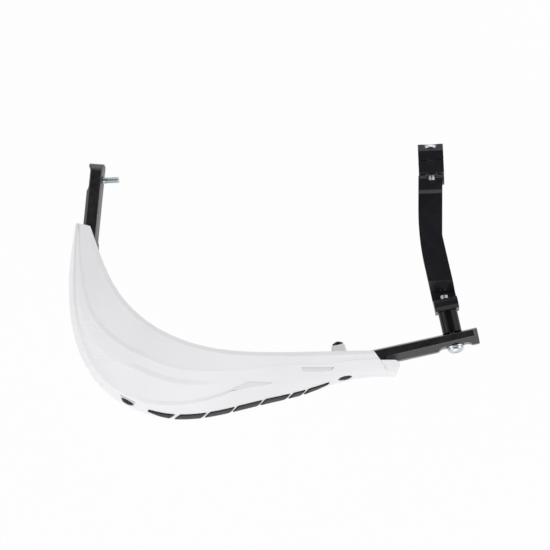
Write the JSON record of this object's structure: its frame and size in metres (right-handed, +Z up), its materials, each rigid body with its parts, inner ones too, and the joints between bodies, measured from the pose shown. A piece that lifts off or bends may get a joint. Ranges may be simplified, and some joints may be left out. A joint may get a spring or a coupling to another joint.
{
  "type": "motorcycle hand guard",
  "caption": "Right-hand motorcycle hand guard: an aluminium bar held by a handlebar clamp arm and the handlebar's end, with a moulded plastic shield and rubber bumper pads.",
  "frame": {"origin": "middle of the handlebar clamp's bore, on the handlebar's centre line", "axes": "+X along the handlebar towards the middle of the bike, +Y towards the rider, +Z up; the guard bar lies in the XY plane"},
  "size_m": [0.3614, 0.2333, 0.0793],
  "materials": {
    "black_bar": "satin black coating",
    "black_clamp": "satin black coating",
    "shield_plastic": "fine satin grain",
    "bumper_rubber": "matt",
    "clip_plastic": "matt",
    "zinc_steel": "zinc plated",
    "black_steel": "black oxide"
  },
  "bodies": {
    "root": {"guard_bar": "black_bar", "shield": "shield_plastic", "bumper_strip": "bumper_rubber", "clamp_arm": "black_clamp", "clamp_cap": "black_clamp", "arm_spacer": "black_clamp", "arm_washer": "zinc_steel", "arm_bolt": "zinc_steel", "bar_end_screw": "zinc_steel", "clamp_bolts": "zinc_steel", "clamp_nuts": "black_steel", "inner_shield_screw": "black_steel", "outer_shield_screw": "black_steel", "shield_nuts": "black_steel", "inner_clip": "clip_plastic", "outer_clip": "clip_plastic"}
  },
  "joints": []
}
